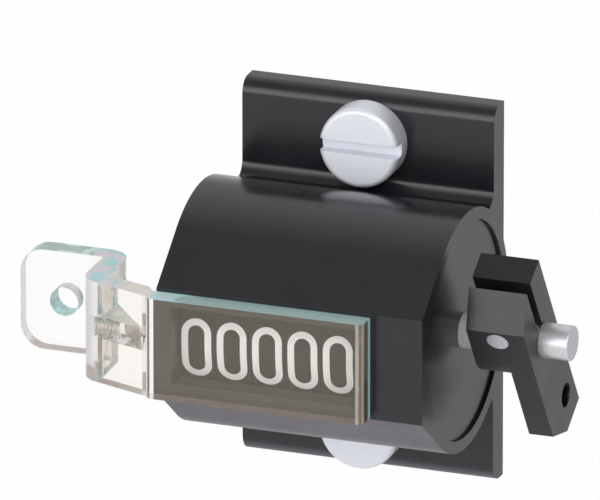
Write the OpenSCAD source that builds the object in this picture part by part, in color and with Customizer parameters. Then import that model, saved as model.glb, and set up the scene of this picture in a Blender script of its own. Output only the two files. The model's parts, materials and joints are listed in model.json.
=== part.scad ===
// Five-figure operation counter with a clamped drive lever.
// The origin is midway between the two fixing screws, on the back plane of the flange.
// +X runs along the drive shaft towards the lever, +Z is up, and the window faces -Y.

/* [Housing] */
// Outside diameter of the barrel
barrel_d = 20.75; // [20.4:0.05:21.5]
// Bore of the barrel, which holds the number wheels
bore_d = 19.4; // [19.3:0.05:19.8]
// Opening in the lip at the lever end
lip_d = 18.65; // [17.8:0.05:18.8]
// Depth of the lip at the lever end
lip_t = 1.2; // [1.1:0.05:1.4]
// Shaft axis to the flat front face
nose_reach = 11.05; // [10.9:0.05:12]
// Height of the flat front face
nose_h = 9.2; // [8.6:0.1:11]
// Shaft axis to the back plane of the flange
axis_stand = 9.15; // [8.8:0.05:9.6]
// Width of the flange along the shaft
flange_w = 22.3; // [21.5:0.1:23]
// Thickness of the flange
flange_t = 2.5; // [2:0.1:3.2]
// Shaft axis to the top edge of the flange
flange_up = 17.2; // [16.8:0.1:20]
// Shaft axis to the bottom edge of the flange
flange_down = 16; // [15.6:0.05:20]
// Rounding of the flange's front edge at the top
edge_r = 1.25; // [0.5:0.05:1.6]
// Rounding of the flange's front edge at the bottom
toe_r = 1.6; // [0.5:0.05:1.8]
// Rounding of the gutters between barrel and flange
gutter_r = 1.3; // [0.6:0.1:1.6]
// Height of the window opening
window_h = 6.75; // [6:0.05:8]
// Wall beyond the last number wheel
tail_t = 1.65; // [1.5:0.05:3]

/* [Screws] */
// Distance between the two fixing screws
screw_spacing = 25; // [25:0.5:27]
// Height of the screws' midpoint above the shaft axis
screw_rise = 0.72; // [0:0.02:0.72]
// Thread diameter of the fixing screws
screw_d = 4; // [3:0.5:4.5]
// Length under the head
screw_len = 7.5; // [6:0.5:12]
// Neck of the fixing screws, within the flange
screw_neck_d = 3.2; // [2.4:0.1:3.6]
// Diameter of the cheese head
screw_head_d = 7; // [6.4:0.1:7]
// Height of the cheese head
screw_head_h = 2.5; // [2:0.1:2.5]
// Width of the driver slot
slot_w = 1.1; // [0.8:0.05:1.4]
// Depth of the driver slot
slot_deep = 1.1; // [0.8:0.05:1.4]

/* [Drive] */
// Diameter of the drive shaft
shaft_d = 3; // [2.8:0.05:3.2]
// Length of shaft outside the end face
shaft_out = 9.35; // [8.5:0.05:12]
// Depth of the end cap below the end face
cap_recess = 0.25; // [0.2:0.05:0.6]
// Thickness of the cap's flange behind the lip
cap_t = 0.8; // [0.7:0.05:0.9]
// Outside diameter of the shaft bush
bush_d = 4.6; // [4.3:0.1:4.8]
// Angle of one working stroke of the shaft
stroke = 50; // [40:1:56]
// Teeth of the ratchet wheel
ratchet_teeth = 10; // [10:1:10]
// Diameter over the ratchet teeth
ratchet_d = 10.8; // [10.4:0.1:11]
// Depth of the ratchet teeth
ratchet_deep = 0.9; // [0.6:0.05:1]
// Shaft axis to each pawl pivot
pivot_r = 7.2; // [7.1:0.05:7.3]
// Diameter of the pawl pins
pin_d = 1.2; // [1:0.05:1.3]
// Wire of the return spring
spring_wire = 0.35; // [0.25:0.01:0.4]

/* [Lever] */
// End face to the lever's hub
lever_gap = 1.67; // [1:0.01:2.5]
// Width of the hub along the shaft
lever_w = 5.08; // [4:0.02:6]
// Thickness of the arm
arm_t = 2.12; // [1.5:0.02:3]
// Lean of the arm from straight down towards the back
lever_lean = 33.2; // [20:0.2:36]
// Half the width of the lever, across the arm
lever_half = 3.06; // [2.8:0.02:3.3]
// Shaft axis to the top of the clamp jaws
lever_head = 6.95; // [6.2:0.05:8]
// Shaft axis to the tip of the arm
arm_reach = 11.95; // [11:0.05:12.6]
// Size of the two cut corners
corner_cut = 2.6; // [1.5:0.05:3]
// Width of the clamp slit
slit_w = 1.05; // [0.6:0.05:1.4]
// Diameter of the eye in the arm
eye_d = 2.1; // [1.6:0.05:2.6]
// Shaft axis to the eye, along the arm
eye_reach = 8.9; // [7.5:0.05:9.5]
// Offset of the eye towards the back of the arm
eye_offset = 1.03; // [0:0.01:1.2]
// Thread diameter of the clamp screw
clamp_d = 1.9; // [1.6:0.1:2.3]
// Shaft axis to the clamp screw, along the jaws
clamp_rise = 3.17; // [3:0.01:3.6]

/* [Clear bracket] */
// Height of the strip
strip_h = 8.83; // [7.6:0.01:9.5]
// Thickness of the strip
strip_t = 2; // [1.5:0.05:2.3]
// Drop of the strip's middle below the shaft axis
strip_low = 0.05; // [0:0.01:0.3]
// End face to the strip's free end
plate_from = 4.53; // [2:0.01:5]
// Cement layer between the strip and the housing
bond_gap = 0.05; // [0.03:0.01:0.3]
// Set-back of the neck's front behind the window face
step_back = 0.5; // [0.3:0.02:0.7]
// Angle of the neck to the window face
neck_angle = 19.5; // [12:0.5:24]
// Clear space between the housing and the web
web_gap = 5; // [4:0.1:7]
// Shaft axis to the middle of the lug, towards the front
lug_set = 3.875; // [2.5:0.025:4.4]
// Length of the lug beyond the web
lug_len = 7.4; // [6:0.1:9]
// Rounding of the lug's two free corners
lug_r = 2.1; // [0.5:0.1:3]
// Diameter of the lug's eye
lug_eye_d = 2.5; // [2:0.05:4]
// Free end of the lug to its eye
lug_eye_in = 3.88; // [3:0.01:4.5]
// Inside bend radius of the strip
bend_r = 0.2; // [0.05:0.01:0.3]
// Thickness of the rib between neck and web
rib_t = 1.9; // [1.8:0.05:3]
// Tapping diameter of the hole in the web
tap_d = 1.6; // [0.8:0.05:1.65]
// Depth of the tapped hole
tap_deep = 3.8; // [2.6:0.1:4]
// Rounding of the strip's front edge at its free end
strip_r = 0.62; // [0.2:0.02:1]

/* [Register] */
// Diameter of the number wheels
wheel_d = 18.7; // [18.5:0.05:18.75]
// Distance from one wheel to the next
wheel_pitch = 3.12; // [3.06:0.02:3.3]
// Gap between neighbouring rims
rim_gap = 0.16; // [0.1:0.02:0.2]
// Thickness of a rim behind the gear teeth
rim_t = 0.8; // [0.7:0.05:0.9]
// Thickness of a wheel's web
web_t = 0.6; // [0.4:0.05:0.65]
// End face to the shoulder of the units wheel
shoulder_at = 5; // [4.9:0.05:5.1]
// End face to the units wheel's figures
drive_bay = 6.15; // [5.9:0.05:6.4]
// Diameter of the fixed wheel axle
axle_d = 3; // [2.8:0.05:3.1]
// Outside diameter of the wheel hubs
hub_d = 4.2; // [4:0.05:4.3]
// Thickness of the fixed plates between the wheels
plate_t = 0.5; // [0.4:0.02:0.52]
// Tooth size: pitch diameter over number of teeth
tooth_m = 0.75; // [0.74:0.01:0.76]
// Internal teeth of a number wheel
gear_teeth = 20; // [20:1:20]
// Teeth of a transfer pinion
pinion_teeth = 6; // [6:1:6]

/* [Clearances] */
// Radial clearance of every running fit
run_gap = 0.03; // [0.02:0.01:0.05]
// Clearance beside moving pieces
side_gap = 0.05; // [0.03:0.01:0.07]
// Clearance between pawl tips and ratchet teeth
tip_gap = 0.15; // [0.1:0.01:0.2]
// Radial clearance of the screws in the flange
screw_gap = 0.25; // [0.1:0.05:0.4]
// Clearance of the cap in its openings
seat_gap = 0.03; // [0.02:0.01:0.06]
// Clearance round the heads of the fixing screws
head_gap = 0.1; // [0.05:0.05:0.2]

/* [Hidden] */
$fn = 64;
eps = 0.01;
over = 1;

// Stations are distances inwards from the lever-side end face
end_x = flange_w / 2;
wheel_count = 5;
body_len = drive_bay + wheel_count * wheel_pitch + tail_t;
cap_inner = lip_t + cap_t;
boss_end = cap_inner + 1.2;
arm_from = boss_end + 0.25;
arm_to = arm_from + 1;
pawl_from = arm_to + side_gap;
pawl_to = pawl_from + 0.8;
pin_end = pawl_to + 0.75;
shaft_in = pawl_from;
axle_end = body_len - 0.45;
tail_inner = body_len - tail_t + 0.1;

// Angles round the shaft axis, from +Y towards +Z
arm_angle = 90;
tail_angle = -10;
holding_angle = 250;
anchor_angle = 200;
pinion_angle = 0;

// Pieces of the drive
boss_d = bush_d + 1.8;
arm_half = 0.9;
pad_r = 1.15;
tail_half = 0.7;
tail_r = 7.6;
stop_r = 6.4;
stop_d = 1.2;
pawl_span = 42;
pawl_eye_r = 1.05;
anchor_r = 5.2;
arm_hub_d = shaft_d + 2.4;
pilot_d = 2;
groove_w = 0.5;
groove_deep = 0.2;
wire_d = 0.22;

// Gear and pinion radii
gear_r = tooth_m * gear_teeth / 2;
pinion_r = tooth_m * pinion_teeth / 2;
pinion_at = gear_r - pinion_r;
pinion_tip = pinion_r + tooth_m;
pinion_root = pinion_r - tooth_m;
journal_d = 2 * (pinion_root - 0.4);
plate_r = pinion_at + journal_d / 2 + 0.15;
lock_r = norm([pinion_at + pinion_tip / 2, pinion_tip * sin(60)]) + 0.05;
short_tip = lock_r - pinion_at - 0.1;
rim_r = wheel_d / 2 - rim_t;
bay_r = max(rim_r, pivot_r + pad_r + side_gap);
hub_len = wheel_pitch - plate_t - 2 * side_gap;
tooth_long = 0.8;
tooth_short = 0.32;
tooth_clear = 0.1;

// Lever clamp screw
clamp_head_d = 1.9 * clamp_d;
clamp_head_h = 0.65 * clamp_d;

// Moves a shape drawn round the shaft axis to its place in the part
module on_axis() {
    translate([0, -axis_stand, -screw_rise]) children();
}

// Extrudes an outline drawn in Y and Z between two stations
module slab(from, to) {
    translate([end_x - to, 0, 0]) rotate([90, 0, 90]) linear_extrude(to - from) children();
}

// Round bar between two stations
module rod(from, to, d) {
    translate([end_x - to, 0, 0]) rotate([0, 90, 0]) cylinder(h = to - from, d = d);
}

// Turned piece: a profile of [radius, station] points
module turned(profile) {
    translate([end_x, 0, 0]) rotate([0, 90, 0])
        rotate_extrude() polygon([for (p = profile) [p[0], -p[1]]]);
}

function arc(centre, r, a0, a1, steps = 8) =
    [for (i = [0:steps]) centre + r * polar(a0 + (a1 - a0) * i / steps)];
function polar(a) = [cos(a), sin(a)];
function unit(v) = v / norm(v);

// Wire of round section swept along a path of points
function tangent(p, i) = unit(p[min(i + 1, len(p) - 1)] - p[max(i - 1, 0)]);
function square_to(t, n) = unit(n - (n * t) * t);
function normals(p, i = 0, out = []) =
    i == len(p) ? out
    : let (t = tangent(p, i), seed = abs(t[0]) < 0.7 ? [1, 0, 0] : [0, 1, 0])
      normals(p, i + 1, concat(out, [square_to(t, i == 0 ? seed : out[i - 1])]));

module wire(path, d, sides = 8) {
    side = normals(path);
    rings = [for (i = [0:len(path) - 1]) let (t = tangent(path, i), b = cross(t, side[i]))
        for (k = [0:sides - 1]) path[i] + d / 2 * (cos(360 * k / sides) * side[i]
                                                   + sin(360 * k / sides) * b)];
    last = sides * (len(path) - 1);
    walls = [for (i = [0:len(path) - 2], k = [0:sides - 1])
        [i * sides + k, (i + 1) * sides + k,
         (i + 1) * sides + (k + 1) % sides, i * sides + (k + 1) % sides]];
    polyhedron(rings, concat([[for (k = [0:sides - 1]) k]], walls,
                             [[for (k = [sides - 1:-1:0]) last + k]]));
}

// Points of a coil round the shaft axis, from one station and angle to another
function coil(r, s0, s1, a0, a1, step = 20) =
    let (n = ceil(abs(a1 - a0) / step))
    [for (i = [0:n]) let (a = a0 + (a1 - a0) * i / n)
        [end_x - (s0 + (s1 - s0) * i / n), r * cos(a), r * sin(a)]];
function spot(station, r, a) = [end_x - station, r * cos(a), r * sin(a)];

// Flat front with sloping cheeks that run tangent into the barrel
module nose_outline() {
    r = barrel_d / 2 - 0.01;
    corner = [-nose_reach, nose_h / 2];
    touch = atan2(corner[1], corner[0]) - acos(r / norm(corner));
    polygon([corner, [corner[0], -corner[1]], r * polar(-touch), r * polar(touch)]);
}

// Flange with rounded front edges and a gutter above and below the barrel
module flange_outline() {
    r = barrel_d / 2;
    front = axis_stand - flange_t;
    gutter_y = front - gutter_r;
    upper_z = sqrt(pow(r, 2) - pow(gutter_y, 2)) - 0.03;
    lower_z = -sqrt(pow(r + 0.2, 2) - pow(gutter_y, 2));
    polygon(concat(
        [[axis_stand, -flange_down], [axis_stand, flange_up]],
        arc([front + edge_r, flange_up - edge_r], edge_r, 90, 180),
        arc([gutter_y, upper_z + gutter_r], gutter_r, 0, -90),
        [[gutter_y, 0]],
        arc([gutter_y, lower_z], gutter_r, 60, 0),
        arc([front + toe_r, toe_r - flange_down], toe_r, 180, 270)));
}

module at_screws() {
    for (side = [-1, 1]) translate([0, 0, side * screw_spacing / 2]) children();
}

// The heads of the fixing screws stand in pockets that run into the gutters and the barrel
module housing() {
    window_from = shoulder_at + 0.13;
    window_to = body_len - tail_t + 0.05;
    color("#2c2d2f") difference() {
        on_axis() difference() {
            union() {
                intersection() {
                    rod(0, body_len, barrel_d);
                    slab(0, body_len) translate([-nose_reach, -barrel_d]) square(2 * barrel_d);
                }
                slab(0, body_len) nose_outline();
                slab(0, flange_w) flange_outline();
            }
            rod(lip_t, body_len + over, bore_d);
            rod(-over, lip_t + over, lip_d);
            translate([end_x - window_to, -nose_reach - over, -window_h / 2])
                cube([window_to - window_from, nose_reach + over - bore_d / 3, window_h]);
        }
        at_screws() rotate([90, 0, 0]) {
            translate([0, 0, -over]) cylinder(h = flange_t + 2 * over, d = screw_d + 2 * screw_gap);
            translate([0, 0, flange_t])
                cylinder(h = screw_head_h + head_gap, d = screw_head_d + 2 * head_gap);
        }
    }
}

// Slotted cheese head with a rounded rim, seated on the front of the flange
module mounting_screws() {
    round_r = 0.45;
    tip = 0.35;
    neck = min(screw_neck_d, screw_d) / 2;
    color("#d8dade") at_screws() translate([0, -flange_t, 0]) rotate([90, 0, 0]) difference() {
        rotate_extrude() polygon(concat(
            [[0, screw_head_h]],
            arc([screw_head_d / 2 - round_r, screw_head_h - round_r], round_r, 90, 0, 6),
            [[screw_head_d / 2, 0], [neck, 0], [neck, tip - flange_t],
             [screw_d / 2, 0.05 - flange_t], [screw_d / 2, tip - screw_len],
             [screw_d / 2 - tip, -screw_len], [0, -screw_len]]));
        translate([-screw_head_d, -slot_w / 2, screw_head_h - slot_deep])
            cube([2 * screw_head_d, slot_w, slot_deep + over]);
    }
}

// Outline of a bent strip: a middle line of [station, y] points, with round bends
function heading(p, i) = let (v = p[i + 1] - p[i]) atan2(v[1], v[0]);
function strip_side(p, side) = [for (i = [0:len(p) - 1])
    let (a0 = heading(p, max(i - 1, 0)), a1 = heading(p, min(i, len(p) - 2)),
         turn = a1 - a0, mid_r = bend_r + strip_t / 2)
    if (abs(turn) < 0.1) each [p[i] + side * strip_t / 2 * polar(a1 + 90)]
    else let (hand = sign(turn),
              centre = p[i] - mid_r / cos(turn / 2) * hand * polar(a0 + turn / 2 - 90),
              r = mid_r - hand * side * strip_t / 2)
        each arc(centre, r, a0 - 90 * hand, a1 - 90 * hand, max(3, ceil(abs(turn) / 7)))];
function reversed(p) = [for (i = [len(p) - 1:-1:0]) p[i]];

module clear_bracket() {
    back_y = -(nose_reach + bond_gap);
    front_y = back_y - strip_t;
    slope = tan(neck_angle);
    half = strip_t / 2 / cos(neck_angle);
    step_s = body_len - 0.1;
    neck_s = step_s + step_back;
    web_s = body_len + web_gap + strip_t / 2;
    function neck_y(s) = front_y + step_back + slope * (s - neck_s) + half;
    bend_s = neck_s + 0.8;
    path = [[bend_s, neck_y(bend_s)], [web_s, neck_y(web_s)], [web_s, -lug_set],
            [web_s + strip_t / 2 + lug_len, -lug_set]];
    back_side = concat([[plate_from, back_y], [neck_s - 0.08, back_y]], strip_side(path, 1));
    front_side = concat(arc([plate_from + strip_r, front_y + strip_r], strip_r, 180, 270, 5),
                        [[step_s, front_y], [neck_s, front_y + step_back]], strip_side(path, -1));
    lug_end = path[3][0];
    rib_end = -(lug_set + strip_t / 2 + 0.2);
    rib_s = bend_s - half * slope;
    tap_y = path[1][1] + 1.05;
    color([0.75, 0.9, 0.88, 0.45]) on_axis() translate([0, 0, -strip_low]) difference() {
        union() {
            intersection() {
                translate([0, 0, -strip_h / 2]) linear_extrude(strip_h)
                    polygon([for (p = concat(front_side, reversed(back_side)))
                        [end_x - p[0], p[1]]]);
                rotate([90, 0, 0]) translate([0, 0, -axis_stand]) linear_extrude(40)
                    lug_outline(lug_end);
            }
            translate([0, 0, -rib_t / 2]) linear_extrude(rib_t)
                polygon([for (p = [path[1], [web_s, rib_end], [web_s - strip_t / 2, rib_end],
                                   [rib_s, neck_y(rib_s) + half + eps], [rib_s, neck_y(rib_s)]])
                    [end_x - p[0], p[1]]]);
        }
        translate([end_x - lug_end + lug_eye_in, 0, 0]) rotate([90, 0, 0])
            cylinder(h = 3 * lug_set, d = lug_eye_d);
        translate([end_x - web_s - strip_t / 2 - over, tap_y, 0]) rotate([0, 90, 0])
            cylinder(h = tap_deep + over, d = tap_d);
    }
}

// Front view of the strip, with the two free corners of the lug rounded
module lug_outline(lug_end) {
    x0 = end_x - lug_end;
    h = strip_h / 2;
    polygon(concat(arc([x0 + lug_r, h - lug_r], lug_r, 90, 180),
                   arc([x0 + lug_r, lug_r - h], lug_r, 180, 270),
                   [[end_x, -h], [end_x, h]]));
}

// Cap that closes the lever end from inside and carries everything fixed in the drive bay
module bearing_cap() {
    color("#303134") on_axis() difference() {
        union() {
            rod(cap_recess, lip_t + eps, lip_d - 2 * seat_gap);
            rod(lip_t, cap_inner, bore_d - 2 * seat_gap);
            rod(cap_inner - eps, boss_end, boss_d);
        }
        rod(-over, boss_end + over, shaft_d + 2 * run_gap);
        rod(cap_recess + 0.4, boss_end + over, bush_d);
        for (a = stop_angles()) at(stop_r, a) rod(lip_t, cap_inner + over, stop_d);
        at(pivot_r, holding_angle) rod(lip_t, cap_inner + over, pin_d);
        at(anchor_r, anchor_angle) rod(lip_t, cap_inner + over, spring_wire + 2 * run_gap);
    }
}

module tail_cap() {
    color("#303134") on_axis() difference() {
        union() {
            rod(tail_inner, body_len, bore_d);
            rod(hub_end(wheel_count - 1) + side_gap, tail_inner + eps, 2 * hub_d);
        }
        rod(hub_end(wheel_count - 1), axle_end, axle_d);
    }
}

module shaft_bush() {
    color("#a8834a") on_axis() difference() {
        rod(cap_recess + 0.4, boss_end, bush_d);
        rod(-over, boss_end + over, shaft_d + 2 * run_gap);
    }
}

// Shaft with a chamfered free end and a pilot bore for the wheel axle
// The groove lies under the mouth of the lever's hub, which clamps into it
module drive_shaft() {
    chamfer = 0.06;
    r = shaft_d / 2;
    mouth = -lever_gap - lever_w;
    color("#c9c7cd") on_axis() difference() {
        turned([[0, -shaft_out], [r - chamfer, -shaft_out], [r, chamfer - shaft_out],
                [r, mouth], [r - groove_deep, mouth + groove_deep], [r - groove_deep, mouth + groove_w],
                [r, mouth + groove_w], [r, shaft_in], [0, shaft_in]]);
        rod(boss_end - 0.6, shaft_in + over, pilot_d + 2 * run_gap);
    }
}

module thrust_washer() {
    color("#b9a36a") on_axis() difference() {
        rod(boss_end, arm_from, bush_d);
        rod(boss_end - over, arm_from + over, shaft_d + 2 * run_gap);
    }
}

// Moves a shape drawn on the shaft axis out to a radius and angle
module at(r, a) {
    translate([0, r * cos(a), r * sin(a)]) children();
}

module along_lever() {
    rotate([lever_lean - 90, 0, 0]) children();
}

// Lever drawn with Y along the arm and Z towards the back
module lever() {
    near = -lever_gap;
    far = -lever_gap - lever_w;
    color("#2b2d2e") on_axis() along_lever() difference() {
        union() {
            slab(far, near) polygon([[-lever_head, corner_cut - lever_half], [-lever_head, lever_half],
                                     [0, lever_half], [0, -lever_half],
                                     [corner_cut - lever_head, -lever_half]]);
            rod(far, near, 2 * lever_half);
            slab(far, far + arm_t) polygon([[0, lever_half], [arm_reach, lever_half],
                                            [arm_reach, corner_cut - lever_half],
                                            [arm_reach - corner_cut, -lever_half],
                                            [0, -lever_half]]);
        }
        rod(far - over, near + over, shaft_d);
        slab(far - over, near + over) polygon([for (c = [[-1, -1], [-1, 1], [0, 1], [0, -1]])
            [c[0] * (lever_head + over), c[1] * slit_w / 2]]);
        translate([0, eye_reach, eye_offset]) rod(far - over, near + over, eye_d);
        across_jaws(-lever_half - over, 0) circle(d = clamp_d);
        across_jaws(0, lever_half + over) circle(d = clamp_d + 0.2);
    }
}

// Extrudes an outline through the jaws, between two distances from the slit's middle
module across_jaws(from, to) {
    translate([end_x + lever_gap + lever_w / 2, -clamp_rise, from]) linear_extrude(to - from) children();
}

// Clamp screw: head at the back, end of the thread flush with the front jaw
module clamp_screw() {
    color("#bcbac2") on_axis() along_lever() difference() {
        union() {
            across_jaws(-lever_half, lever_half + eps) circle(d = clamp_d);
            across_jaws(lever_half, lever_half + clamp_head_h) circle(d = clamp_head_d);
        }
        across_jaws(lever_half + 0.5 * clamp_head_h, lever_half + clamp_head_h + over)
            square([2 * clamp_head_d, 0.25 * clamp_d], center = true);
    }
}

// Arm pressed on the shaft: one limb carries the drive pawl, the tail meets the stops
module pawl_arm() {
    color("#b5b7ba") on_axis() difference() {
        union() {
            rod(arm_from, arm_to, arm_hub_d);
            rotate([arm_angle, 0, 0]) limb(arm_half, pivot_r);
            at(pivot_r, arm_angle) rod(arm_from, arm_to, 2 * pad_r);
            rotate([tail_angle, 0, 0]) limb(tail_half, tail_r);
        }
        rod(arm_from - over, arm_to + over, shaft_d);
        at(pivot_r, arm_angle) rod(arm_from - over, arm_to + over, pin_d);
    }
}

module limb(half, reach) {
    slab(arm_from, arm_to) translate([0, -half]) square([reach, 2 * half]);
}

module pawl_pin() {
    color("#c4c6ca") on_axis() at(pivot_r, arm_angle) rod(arm_from, pin_end, pin_d);
}

// Pawl drawn from its pivot to a tip that stands just clear of the ratchet teeth
module pawl(angle) {
    tip_r = ratchet_d / 2 + tip_gap;
    tip = tip_r * polar(-pawl_span) - [pivot_r, 0];
    reach = norm(tip);
    lay = atan2(tip[1], tip[0]);
    on_axis() rotate([angle, 0, 0]) translate([0, pivot_r, 0]) difference() {
        union() {
            rod(pawl_from, pawl_to, 2 * pawl_eye_r);
            rotate([lay, 0, 0]) slab(pawl_from, pawl_to)
                polygon([[0, -0.5], [0, 0.85], [reach - 0.25, 0.75], [reach, 0]]);
        }
        rod(pawl_from - over, pawl_to + over, pin_d + 2 * run_gap);
    }
}

module drive_pawl() {
    color("#8f9296") pawl(arm_angle);
}

module holding_pawl() {
    color("#8f9296") pawl(holding_angle);
}

// Shouldered pin that carries the holding pawl
module holding_pin() {
    color("#c4c6ca") on_axis() at(pivot_r, holding_angle) turned([
        [0, lip_t], [pin_d / 2, lip_t], [pin_d / 2, cap_inner], [pin_d / 2 + 0.35, cap_inner],
        [pin_d / 2 + 0.35, arm_to], [pin_d / 2, arm_to], [pin_d / 2, pin_end], [0, pin_end]]);
}

// The tail rests against one stop and reaches the other at the end of the stroke
function stop_angles() = let (half = asin((tail_half + stop_d / 2 + side_gap) / stop_r))
    [tail_angle + half, tail_angle - stroke - half];

module stop_pins() {
    color("#c4c6ca") on_axis() for (a = stop_angles()) at(stop_r, a) rod(lip_t, arm_to, stop_d);
}

// Two small turns round a pawl pin, with one leg on the pawl's back and one on its carrier
module pawl_spring(angle, rest) {
    r = pin_d / 2 + wire_d / 2 + run_gap;
    s0 = pawl_to + wire_d / 2 + 0.04;
    s1 = s0 + 2 * (wire_d + 0.03);
    tip = (ratchet_d / 2 + tip_gap) * polar(-pawl_span) - [pivot_r, 0];
    lay = atan2(tip[1], tip[0]);
    back = lay + 115;
    color("#d0d2d6") on_axis() rotate([angle, 0, 0]) translate([0, pivot_r, 0])
        wire(concat([spot(pawl_to - 0.5, 1.45, lay + 62), spot(s0, 1.45, lay + 62)],
                    coil(r, s0, s1, back, back + 720),
                    [spot(s1, rest, back + 765), spot(s1 + 0.3, rest, back + 765)]), wire_d, 6);
}

module drive_pawl_spring() {
    pawl_spring(arm_angle, 1.25);
}

module holding_pawl_spring() {
    pawl_spring(holding_angle, 1.25);
}

// Torsion spring round the cap's boss, anchored in the cap, pushing on the arm's limb
module return_spring() {
    r = boss_d / 2 + spring_wire / 2 + 0.15;
    s0 = cap_inner + spring_wire / 2 + 0.05;
    s1 = arm_from - spring_wire / 2 - 0.06;
    push_r = 5.6;
    push_angle = arm_angle - asin((arm_half + spring_wire / 2 + 0.02) / push_r);
    color("#d0d2d6") on_axis()
        wire(concat([spot(lip_t + 0.1, anchor_r, anchor_angle), spot(s0, anchor_r, anchor_angle)],
                    coil(r, s0, s1, anchor_angle - 20, push_angle - 700),
                    [spot(s1, push_r, push_angle - 720), spot(arm_to, push_r, push_angle)]),
             spring_wire);
}

// Saw teeth: each steep face looks back against the direction of counting
module ratchet_wheel() {
    tip = ratchet_d / 2;
    root = tip - ratchet_deep;
    step = 360 / ratchet_teeth;
    color("#9a9da1") on_axis() difference() {
        slab(pawl_from, pawl_to)
            polygon([for (i = [0:ratchet_teeth - 1]) each [root * polar(i * step),
                                                          tip * polar((i + 1) * step)]]);
        rod(pawl_from - over, pawl_to + over, hub_d);
    }
}

// Fixed axle: pilot in the drive shaft, flat along one side to key the carrier plates
module wheel_axle() {
    color("#c4c6ca") on_axis() difference() {
        turned([[0, boss_end - 0.4], [pilot_d / 2, boss_end - 0.4],
                [pilot_d / 2, shaft_in + side_gap], [axle_d / 2, shaft_in + side_gap],
                [axle_d / 2, axle_end], [0, axle_end]]);
        axle_flat(plate_mid(1) - plate_t / 2 - side_gap, hub_end(wheel_count - 1));
    }
}

module axle_flat(from, to) {
    slab(from, to) translate([-axle_d, 0.38 * axle_d]) square(2 * axle_d);
}

// Stations of a wheel's middle, right edge and left hub end
function wheel_mid(i) = drive_bay + (i + 0.5) * wheel_pitch;
function wheel_edge(i) = wheel_mid(i) - wheel_pitch / 2 + rim_gap / 2;
function hub_end(i) = wheel_mid(i) + hub_len / 2;
function plate_mid(i) = wheel_mid(i) - wheel_pitch / 2;

// Space inside an internal gear: one gap per tooth, wide at the tips and narrow at the root
function gear_space(count, parts) = [for (i = [0:count - 1], p = parts)
    p[0] * polar(360 * i / count + p[1] / p[0] * 90 / PI)];
gear_gap = [[gear_r - 0.9 * tooth_m, -2.05], [gear_r, -1.3], [gear_r + 1.15 * tooth_m, -0.9],
            [gear_r + 1.15 * tooth_m, 0.9], [gear_r, 1.3], [gear_r - 0.9 * tooth_m, 2.05]];
tooth_side = [[pinion_root, -1.1], [pinion_r, -1], [pinion_tip, -0.6],
              [pinion_tip, 0.6], [pinion_r, 1], [pinion_root, 1.1]];

// Locking ring with three gear gaps, so that two teeth pass the carry to the pinion
module carry_space() {
    window = 1.5 * 360 / gear_teeth;
    circle(r = lock_r);
    intersection() {
        polygon(gear_space(gear_teeth, gear_gap));
        polygon([[0, 0], 2 * gear_r * polar(-window), 2 * gear_r * polar(window)]);
    }
}

// Number wheel: rim, web and hub, geared inside to the pinion on its right,
// with the locking ring for the pinion on its left
module number_wheel(i) {
    mid = wheel_mid(i);
    right = i == 0 ? shoulder_at : wheel_edge(i);
    left = wheel_edge(i + 1) - rim_gap;
    last = i == wheel_count - 1;
    web_left = mid + web_t / 2;
    ring_to = last ? web_left : plate_mid(i + 1) - plate_t / 2 - side_gap - tooth_short - tooth_clear;
    color("#1c1d1f") on_axis() difference() {
        union() {
            difference() {
                rod(right, left, wheel_d);
                slab(right - over, mid - web_t / 2) right_space(i);
                if (!last) slab(web_left, ring_to + eps)
                    rotate(pinion_angle + 180 / gear_teeth) carry_space();
                slab(ring_to, left + over) circle(r = rim_r);
            }
            rod(i == 0 ? pawl_from : mid - hub_len / 2, hub_end(i), hub_d);
        }
        rod(right - 2 * over, left + over, axle_d + 2 * run_gap);
    }
}

module right_space(i) {
    if (i == 0) circle(r = bay_r);
    else rotate(pinion_angle) polygon(gear_space(gear_teeth, gear_gap));
}

module units_wheel() number_wheel(0);
module tens_wheel() number_wheel(1);
module hundreds_wheel() number_wheel(2);
module thousands_wheel() number_wheel(3);
module ten_thousands_wheel() number_wheel(4);

// Fixed plate between wheels i - 1 and i, keyed to the axle, slotted for the pinion's journal
module carrier_plate(i) {
    mid = plate_mid(i);
    slot = journal_d / 2 + run_gap;
    color("#a9abae") on_axis() slab(mid - plate_t / 2, mid + plate_t / 2) difference() {
        circle(r = plate_r);
        difference() {
            circle(d = axle_d);
            translate([-axle_d, 0.38 * axle_d]) square(2 * axle_d);
        }
        rotate(pinion_angle) {
            translate([pinion_at, 0]) circle(r = slot);
            translate([pinion_at, -slot]) square([plate_r, 2 * slot]);
        }
    }
}

module carrier_plate_1() carrier_plate(1);
module carrier_plate_2() carrier_plate(2);
module carrier_plate_3() carrier_plate(3);
module carrier_plate_4() carrier_plate(4);

// Pinion with all teeth for the higher wheel, a journal, and every other tooth cut short
// for the locking ring of the lower wheel
module transfer_pinion(i) {
    mid = plate_mid(i);
    face = plate_t / 2 + side_gap;
    color("#e4e2da") on_axis() at(pinion_at, pinion_angle) {
        slab(mid + face, mid + face + tooth_long) polygon(gear_space(pinion_teeth, tooth_side));
        rod(mid - face - eps, mid + face + eps, journal_d);
        slab(mid - face - tooth_short, mid - face) intersection() {
            polygon(gear_space(pinion_teeth, tooth_side));
            polygon([for (k = [0:pinion_teeth - 1]) let (r = k % 2 == 0 ? short_tip : 2 * pinion_tip)
                each [r * polar(60 * k - 30) , r * polar(60 * k + 30)]]);
        }
    }
}

module transfer_pinion_1() transfer_pinion(1);
module transfer_pinion_2() transfer_pinion(2);
module transfer_pinion_3() transfer_pinion(3);
module transfer_pinion_4() transfer_pinion(4);

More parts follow.
